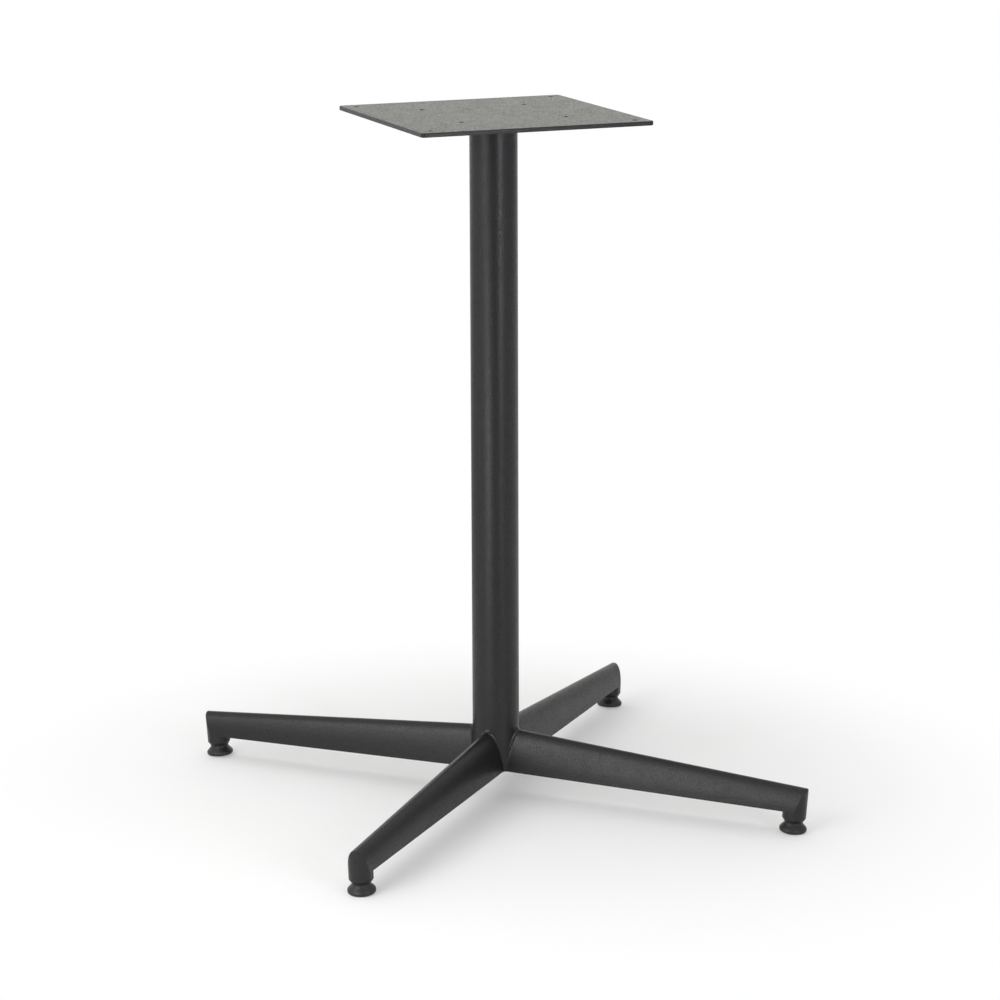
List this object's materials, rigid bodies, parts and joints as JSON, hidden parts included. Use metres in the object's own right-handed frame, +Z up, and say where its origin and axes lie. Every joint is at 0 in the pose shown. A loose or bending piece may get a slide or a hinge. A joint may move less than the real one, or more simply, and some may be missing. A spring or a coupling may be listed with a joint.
{
  "type": "table base",
  "caption": "Pedestal table base: a square drilled top plate on a round column, with tapered pressed-sheet legs along the plate's diagonals and screw-in levelling glides.",
  "frame": {"origin": "on the floor, under the middle of the column", "axes": "+Z up the column; X and Y along the sides of the top plate, with the legs on its diagonals"},
  "size_m": [0.5042, 0.5042, 0.733],
  "materials": {
    "powder_coat": "fine-textured satin powder coat",
    "glide_plastic": "moulded, satin",
    "zinc_steel": "zinc plated thread"
  },
  "bodies": {
    "base": {"top_plate": "powder_coat", "column": "powder_coat", "plate_weld": "powder_coat", "leg_front_left": "powder_coat", "leg_weld_front_left": "powder_coat", "foot_socket_front_left": "powder_coat", "leg_front_right": "powder_coat", "leg_weld_front_right": "powder_coat", "foot_socket_front_right": "powder_coat", "leg_back_right": "powder_coat", "leg_weld_back_right": "powder_coat", "foot_socket_back_right": "powder_coat", "leg_back_left": "powder_coat", "leg_weld_back_left": "powder_coat", "foot_socket_back_left": "powder_coat"},
    "glide_front_left": {"glide_stud_front_left": "zinc_steel", "glide_foot_front_left": "glide_plastic"},
    "glide_front_right": {"glide_stud_front_right": "zinc_steel", "glide_foot_front_right": "glide_plastic"},
    "glide_back_right": {"glide_stud_back_right": "zinc_steel", "glide_foot_back_right": "glide_plastic"},
    "glide_back_left": {"glide_stud_back_left": "zinc_steel", "glide_foot_back_left": "glide_plastic"}
  },
  "joints": [
    {"name": "glide_front_left_height", "type": "slide", "parent": "base", "child": "glide_front_left", "axis": [0.0533, 0.0533, -0.9972], "range_m": [0, 0.01]},
    {"name": "glide_front_right_height", "type": "slide", "parent": "base", "child": "glide_front_right", "axis": [-0.0533, 0.0533, -0.9972], "range_m": [0, 0.01]},
    {"name": "glide_back_right_height", "type": "slide", "parent": "base", "child": "glide_back_right", "axis": [-0.0533, -0.0533, -0.9972], "range_m": [0, 0.01]},
    {"name": "glide_back_left_height", "type": "slide", "parent": "base", "child": "glide_back_left", "axis": [0.0533, -0.0533, -0.9972], "range_m": [0, 0.01]}
  ]
}
